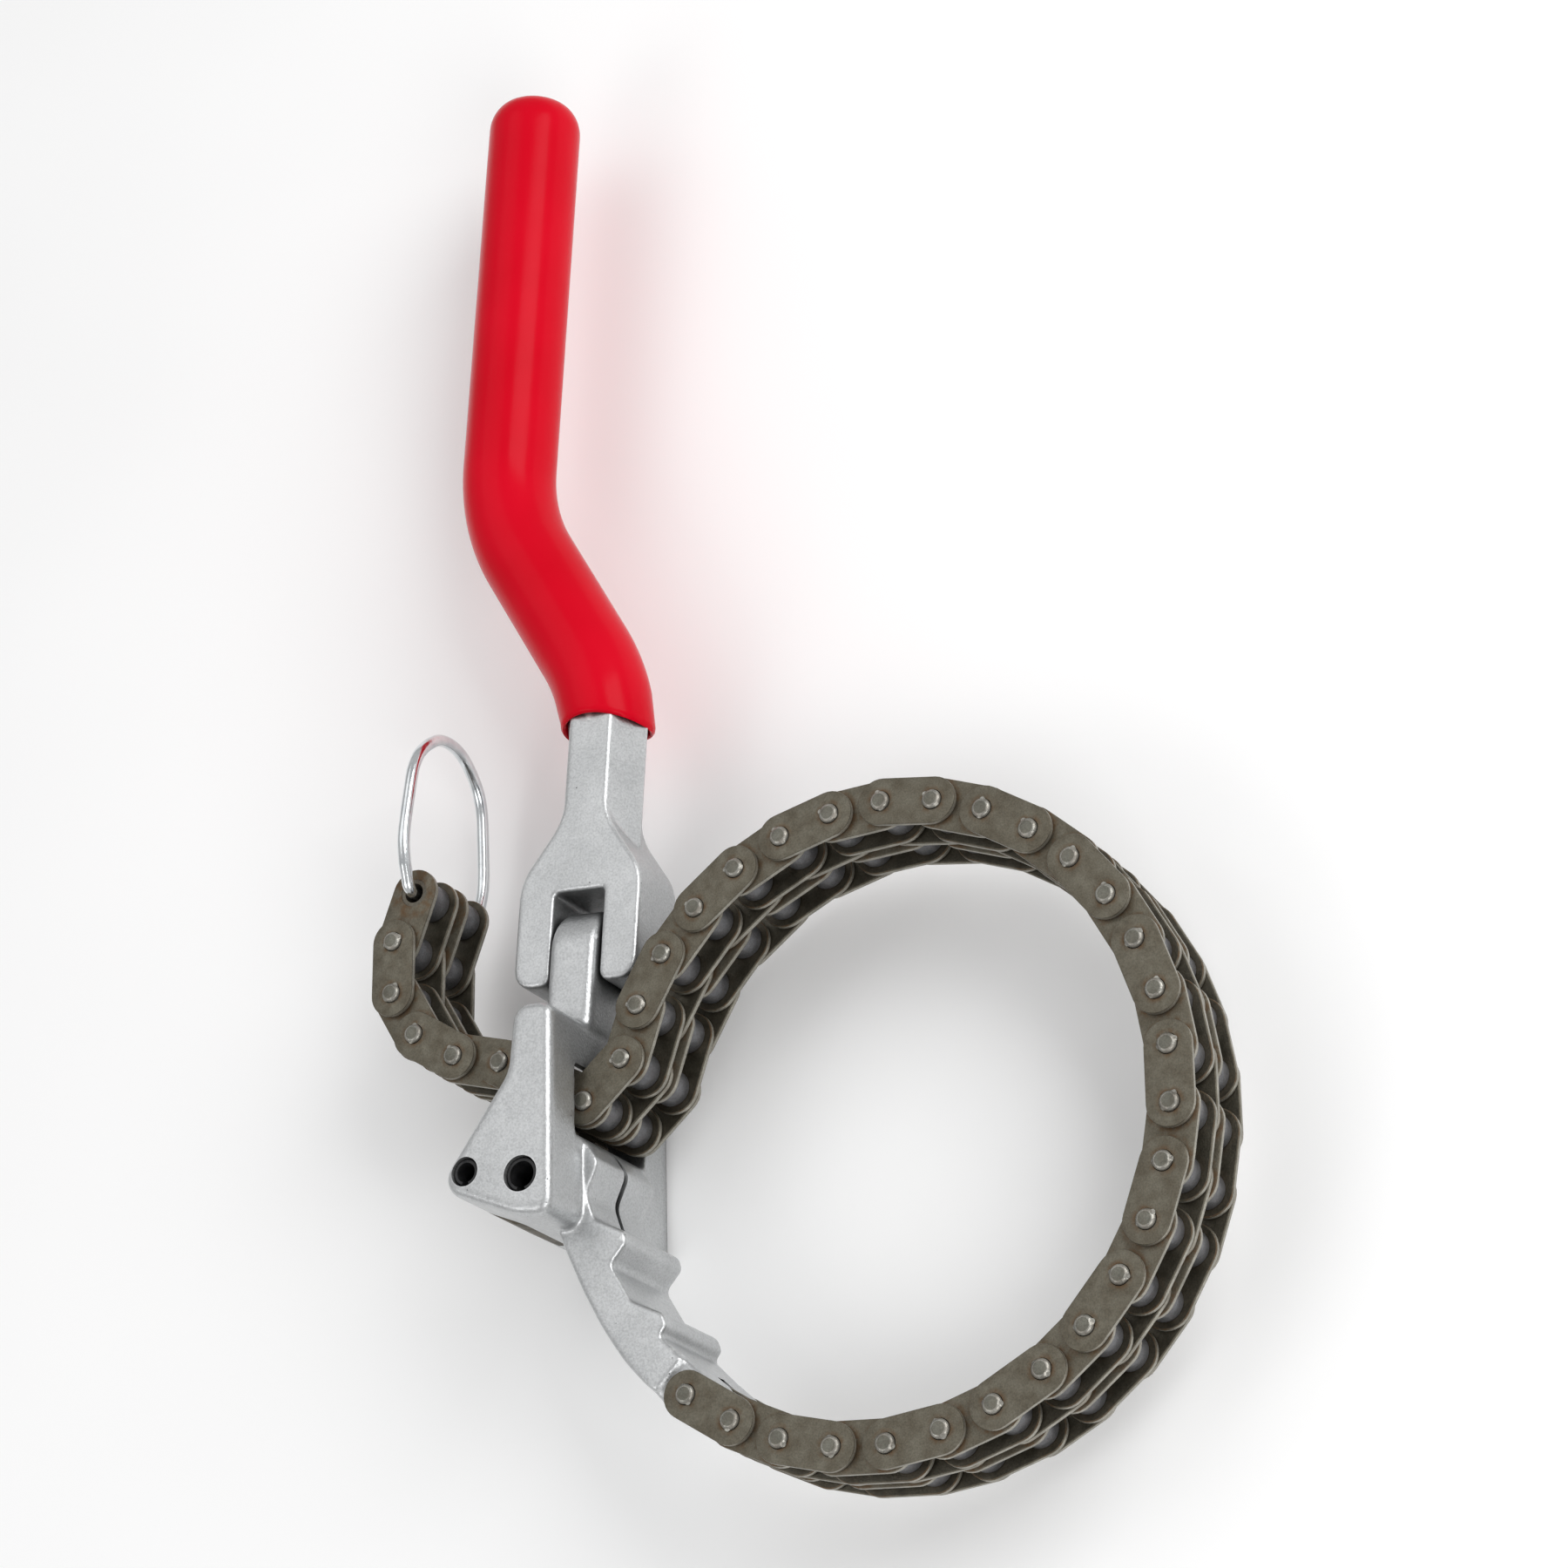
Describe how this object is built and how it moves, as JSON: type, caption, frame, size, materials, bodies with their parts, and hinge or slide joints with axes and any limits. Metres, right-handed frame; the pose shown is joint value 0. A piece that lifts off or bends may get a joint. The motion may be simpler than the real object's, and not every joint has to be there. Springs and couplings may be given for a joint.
{
  "type": "oil filter wrench",
  "caption": "Chain oil filter wrench: swivelling red-gripped handle, cast head with toothed jaw, duplex roller chain loop locked in the head, pull ring on its tail.",
  "frame": {"origin": "bottom centre of the whole tool's bounding box, with the tool lying on the outer face of one cheek of its head", "axes": "+X across the handle towards the chain loop, +Y along the handle towards the end of its grip, +Z square to the plane of the chain loop"},
  "size_m": [0.2064, 0.3564, 0.056],
  "materials": {
    "chain_steel": "oiled khaki-brown phosphated steel, worn lighter along the plate edges",
    "lock_steel": "oiled dark brown hardened steel",
    "cast_silver": "satin light grey forged and cast surface, slightly mottled",
    "zinc_wire": "bright zinc plated wire",
    "black_steel": "black oxide spring steel",
    "red_vinyl": "smooth glossy dipped vinyl"
  },
  "bodies": {
    "head": {"head_casting": "cast_silver", "chain_lock": "lock_steel", "spring_pin_inner": "black_steel", "spring_pin_outer": "black_steel"},
    "handle": {"handle_forging": "cast_silver", "grip_sleeve": "red_vinyl", "pivot_pin": "cast_silver"},
    "link_01": {"chain_link_01_outer": "chain_steel"},
    "link_02": {"chain_link_02_inner": "chain_steel"},
    "link_03": {"chain_link_03_outer": "chain_steel"},
    "link_04": {"chain_link_04_inner": "chain_steel"},
    "link_05": {"chain_link_05_outer": "chain_steel"},
    "link_06": {"chain_link_06_inner": "chain_steel"},
    "link_07": {"chain_link_07_outer": "chain_steel"},
    "link_08": {"chain_link_08_inner": "chain_steel"},
    "link_09": {"chain_link_09_outer": "chain_steel"},
    "link_10": {"chain_link_10_inner": "chain_steel"},
    "link_11": {"chain_link_11_outer": "chain_steel"},
    "link_12": {"chain_link_12_inner": "chain_steel"},
    "link_13": {"chain_link_13_outer": "chain_steel"},
    "link_14": {"chain_link_14_inner": "chain_steel"},
    "link_15": {"chain_link_15_outer": "chain_steel"},
    "link_16": {"chain_link_16_inner": "chain_steel"},
    "link_17": {"chain_link_17_outer": "chain_steel"},
    "link_18": {"chain_link_18_inner": "chain_steel"},
    "link_19": {"chain_link_19_outer": "chain_steel"},
    "link_20": {"chain_link_20_inner": "chain_steel"},
    "link_21": {"chain_link_21_outer": "chain_steel"},
    "link_22": {"chain_link_22_inner": "chain_steel"},
    "link_23": {"chain_link_23_outer": "chain_steel"},
    "link_24": {"chain_link_24_inner": "chain_steel"},
    "link_25": {"chain_link_25_outer": "chain_steel"},
    "link_26": {"chain_link_26_inner": "chain_steel"},
    "link_27": {"chain_link_27_outer": "chain_steel"},
    "link_28": {"chain_link_28_inner": "chain_steel"},
    "link_29": {"chain_link_29_outer": "chain_steel"},
    "link_30": {"chain_link_30_inner": "chain_steel"},
    "link_31": {"chain_link_31_outer": "chain_steel"},
    "link_32": {"chain_link_32_inner": "chain_steel"},
    "link_33": {"chain_link_33_outer": "chain_steel"},
    "link_34": {"chain_link_34_inner": "chain_steel"},
    "link_35": {"chain_link_35_outer": "chain_steel"},
    "link_36": {"chain_link_36_inner": "chain_steel"},
    "ring": {"pull_ring": "zinc_wire"}
  },
  "joints": [
    {"name": "handle_swivel", "type": "hinge", "parent": "head", "child": "handle", "pos_m": [-0.05144, -0.05232, 0.028], "axis": [1, 0, 0], "range_deg": [-100, 100]},
    {"name": "chain_hinge_01", "type": "hinge", "parent": "head", "child": "link_01", "pos_m": [-0.01354, -0.15902, 0.028], "axis": [0, 0, 1], "range_deg": [-5, 5]},
    {"name": "chain_hinge_02", "type": "hinge", "parent": "link_01", "child": "link_02", "pos_m": [-0.00245, -0.16522, 0.028], "axis": [0, 0, 1], "range_deg": [-8, 8]},
    {"name": "chain_hinge_03", "type": "hinge", "parent": "link_02", "child": "link_03", "pos_m": [0.00938, -0.16985, 0.028], "axis": [0, 0, 1], "range_deg": [-8, 8]},
    {"name": "chain_hinge_04", "type": "hinge", "parent": "link_03", "child": "link_04", "pos_m": [0.02185, -0.17223, 0.028], "axis": [0, 0, 1], "range_deg": [-8, 8]},
    {"name": "chain_hinge_05", "type": "hinge", "parent": "link_04", "child": "link_05", "pos_m": [0.03455, -0.17228, 0.028], "axis": [0, 0, 1], "range_deg": [-8, 8]},
    {"name": "chain_hinge_06", "type": "hinge", "parent": "link_05", "child": "link_06", "pos_m": [0.04704, -0.16998, 0.028], "axis": [0, 0, 1], "range_deg": [-8, 8]},
    {"name": "chain_hinge_07", "type": "hinge", "parent": "link_06", "child": "link_07", "pos_m": [0.0589, -0.16543, 0.028], "axis": [0, 0, 1], "range_deg": [-8, 8]},
    {"name": "chain_hinge_08", "type": "hinge", "parent": "link_07", "child": "link_08", "pos_m": [0.06972, -0.15878, 0.028], "axis": [0, 0, 1], "range_deg": [-8, 8]},
    {"name": "chain_hinge_09", "type": "hinge", "parent": "link_08", "child": "link_09", "pos_m": [0.07912, -0.15025, 0.028], "axis": [0, 0, 1], "range_deg": [-8, 8]},
    {"name": "chain_hinge_10", "type": "hinge", "parent": "link_09", "child": "link_10", "pos_m": [0.0868, -0.14013, 0.028], "axis": [0, 0, 1], "range_deg": [-8, 8]},
    {"name": "chain_hinge_11", "type": "hinge", "parent": "link_10", "child": "link_11", "pos_m": [0.09249, -0.12878, 0.028], "axis": [0, 0, 1], "range_deg": [-8, 8]},
    {"name": "chain_hinge_12", "type": "hinge", "parent": "link_11", "child": "link_12", "pos_m": [0.09599, -0.11657, 0.028], "axis": [0, 0, 1], "range_deg": [-8, 8]},
    {"name": "chain_hinge_13", "type": "hinge", "parent": "link_12", "child": "link_13", "pos_m": [0.09738, -0.10394, 0.028], "axis": [0, 0, 1], "range_deg": [-8, 8]},
    {"name": "chain_hinge_14", "type": "hinge", "parent": "link_13", "child": "link_14", "pos_m": [0.09663, -0.09127, 0.028], "axis": [0, 0, 1], "range_deg": [-8, 8]},
    {"name": "chain_hinge_15", "type": "hinge", "parent": "link_14", "child": "link_15", "pos_m": [0.09375, -0.0789, 0.028], "axis": [0, 0, 1], "range_deg": [-8, 8]},
    {"name": "chain_hinge_16", "type": "hinge", "parent": "link_15", "child": "link_16", "pos_m": [0.08883, -0.06719, 0.028], "axis": [0, 0, 1], "range_deg": [-8, 8]},
    {"name": "chain_hinge_17", "type": "hinge", "parent": "link_16", "child": "link_17", "pos_m": [0.08201, -0.05648, 0.028], "axis": [0, 0, 1], "range_deg": [-8, 8]},
    {"name": "chain_hinge_18", "type": "hinge", "parent": "link_17", "child": "link_18", "pos_m": [0.07347, -0.04707, 0.028], "axis": [0, 0, 1], "range_deg": [-8, 8]},
    {"name": "chain_hinge_19", "type": "hinge", "parent": "link_18", "child": "link_19", "pos_m": [0.06348, -0.03923, 0.028], "axis": [0, 0, 1], "range_deg": [-8, 8]},
    {"name": "chain_hinge_20", "type": "hinge", "parent": "link_19", "child": "link_20", "pos_m": [0.05231, -0.03319, 0.028], "axis": [0, 0, 1], "range_deg": [-8, 8]},
    {"name": "chain_hinge_21", "type": "hinge", "parent": "link_20", "child": "link_21", "pos_m": [0.04016, -0.0295, 0.028], "axis": [0, 0, 1], "range_deg": [-8, 8]},
    {"name": "chain_hinge_22", "type": "hinge", "parent": "link_21", "child": "link_22", "pos_m": [0.02751, -0.02831, 0.028], "axis": [0, 0, 1], "range_deg": [-8, 8]},
    {"name": "chain_hinge_23", "type": "hinge", "parent": "link_22", "child": "link_23", "pos_m": [0.01489, -0.02966, 0.028], "axis": [0, 0, 1], "range_deg": [-8, 8]},
    {"name": "chain_hinge_24", "type": "hinge", "parent": "link_23", "child": "link_24", "pos_m": [0.00278, -0.0335, 0.028], "axis": [0, 0, 1], "range_deg": [-8, 8]},
    {"name": "chain_hinge_25", "type": "hinge", "parent": "link_24", "child": "link_25", "pos_m": [-0.00832, -0.03967, 0.028], "axis": [0, 0, 1], "range_deg": [-8, 8]},
    {"name": "chain_hinge_26", "type": "hinge", "parent": "link_25", "child": "link_26", "pos_m": [-0.01796, -0.04794, 0.028], "axis": [0, 0, 1], "range_deg": [-8, 8]},
    {"name": "chain_hinge_27", "type": "hinge", "parent": "link_26", "child": "link_27", "pos_m": [-0.02576, -0.05796, 0.028], "axis": [0, 0, 1], "range_deg": [-8, 8]},
    {"name": "chain_hinge_28", "type": "hinge", "parent": "link_27", "child": "link_28", "pos_m": [-0.03141, -0.06933, 0.028], "axis": [0, 0, 1], "range_deg": [-8, 8]},
    {"name": "chain_hinge_29", "type": "hinge", "parent": "link_28", "child": "link_29", "pos_m": [-0.03467, -0.08161, 0.028], "axis": [0, 0, 1], "range_deg": [-8, 8]},
    {"name": "chain_hinge_30", "type": "hinge", "parent": "link_29", "child": "link_30", "pos_m": [-0.04362, -0.09062, 0.028], "axis": [0, 0, 1], "range_deg": [-8, 8]},
    {"name": "chain_hinge_31", "type": "hinge", "parent": "link_30", "child": "link_31", "pos_m": [-0.05499, -0.08495, 0.028], "axis": [0, 0, 1], "range_deg": [-3, 6]},
    {"name": "chain_hinge_32", "type": "hinge", "parent": "link_31", "child": "link_32", "pos_m": [-0.06635, -0.07929, 0.028], "axis": [0, 0, 1], "range_deg": [-3, 18]},
    {"name": "chain_hinge_33", "type": "hinge", "parent": "link_32", "child": "link_33", "pos_m": [-0.07875, -0.07654, 0.028], "axis": [0, 0, 1], "range_deg": [-3, 20]},
    {"name": "chain_hinge_34", "type": "hinge", "parent": "link_33", "child": "link_34", "pos_m": [-0.0898, -0.07028, 0.028], "axis": [0, 0, 1], "range_deg": [-3, 20]},
    {"name": "chain_hinge_35", "type": "hinge", "parent": "link_34", "child": "link_35", "pos_m": [-0.09681, -0.05969, 0.028], "axis": [0, 0, 1], "range_deg": [-3, 20]},
    {"name": "chain_hinge_36", "type": "hinge", "parent": "link_35", "child": "link_36", "pos_m": [-0.09759, -0.04702, 0.028], "axis": [0, 0, 1], "range_deg": [-3, 20]},
    {"name": "ring_swing", "type": "hinge", "parent": "link_36", "child": "ring", "pos_m": [-0.09398, -0.03484, 0.028], "axis": [0, 0, 1], "range_deg": [-25, 110]}
  ],
  "couplings": [
    {"joint": "chain_hinge_02", "follows": "chain_hinge_01", "ratio": 0.7299},
    {"joint": "chain_hinge_03", "follows": "chain_hinge_01", "ratio": 0.4744},
    {"joint": "chain_hinge_04", "follows": "chain_hinge_01", "ratio": 0.162},
    {"joint": "chain_hinge_05", "follows": "chain_hinge_01", "ratio": -0.1342},
    {"joint": "chain_hinge_06", "follows": "chain_hinge_01", "ratio": -0.3801},
    {"joint": "chain_hinge_07", "follows": "chain_hinge_01", "ratio": -0.5486},
    {"joint": "chain_hinge_08", "follows": "chain_hinge_01", "ratio": -0.6233},
    {"joint": "chain_hinge_09", "follows": "chain_hinge_01", "ratio": -0.6004},
    {"joint": "chain_hinge_10", "follows": "chain_hinge_01", "ratio": -0.4889},
    {"joint": "chain_hinge_11", "follows": "chain_hinge_01", "ratio": -0.3093},
    {"joint": "chain_hinge_12", "follows": "chain_hinge_01", "ratio": -0.1005},
    {"joint": "chain_hinge_13", "follows": "chain_hinge_01", "ratio": 0.1054},
    {"joint": "chain_hinge_14", "follows": "chain_hinge_01", "ratio": 0.2914},
    {"joint": "chain_hinge_15", "follows": "chain_hinge_01", "ratio": 0.4348},
    {"joint": "chain_hinge_16", "follows": "chain_hinge_01", "ratio": 0.5185},
    {"joint": "chain_hinge_17", "follows": "chain_hinge_01", "ratio": 0.5332},
    {"joint": "chain_hinge_18", "follows": "chain_hinge_01", "ratio": 0.478},
    {"joint": "chain_hinge_19", "follows": "chain_hinge_01", "ratio": 0.361},
    {"joint": "chain_hinge_20", "follows": "chain_hinge_01", "ratio": 0.181},
    {"joint": "chain_hinge_21", "follows": "chain_hinge_01", "ratio": -0.0433},
    {"joint": "chain_hinge_22", "follows": "chain_hinge_01", "ratio": -0.2567},
    {"joint": "chain_hinge_23", "follows": "chain_hinge_01", "ratio": -0.4182},
    {"joint": "chain_hinge_24", "follows": "chain_hinge_01", "ratio": -0.4943},
    {"joint": "chain_hinge_25", "follows": "chain_hinge_01", "ratio": -0.4648},
    {"joint": "chain_hinge_26", "follows": "chain_hinge_01", "ratio": -0.3263},
    {"joint": "chain_hinge_27", "follows": "chain_hinge_01", "ratio": -0.0933},
    {"joint": "chain_hinge_28", "follows": "chain_hinge_01", "ratio": 0.2044},
    {"joint": "chain_hinge_29", "follows": "chain_hinge_01", "ratio": -0.0377},
    {"joint": "chain_hinge_30", "follows": "chain_hinge_01", "ratio": -0.154}
  ]
}
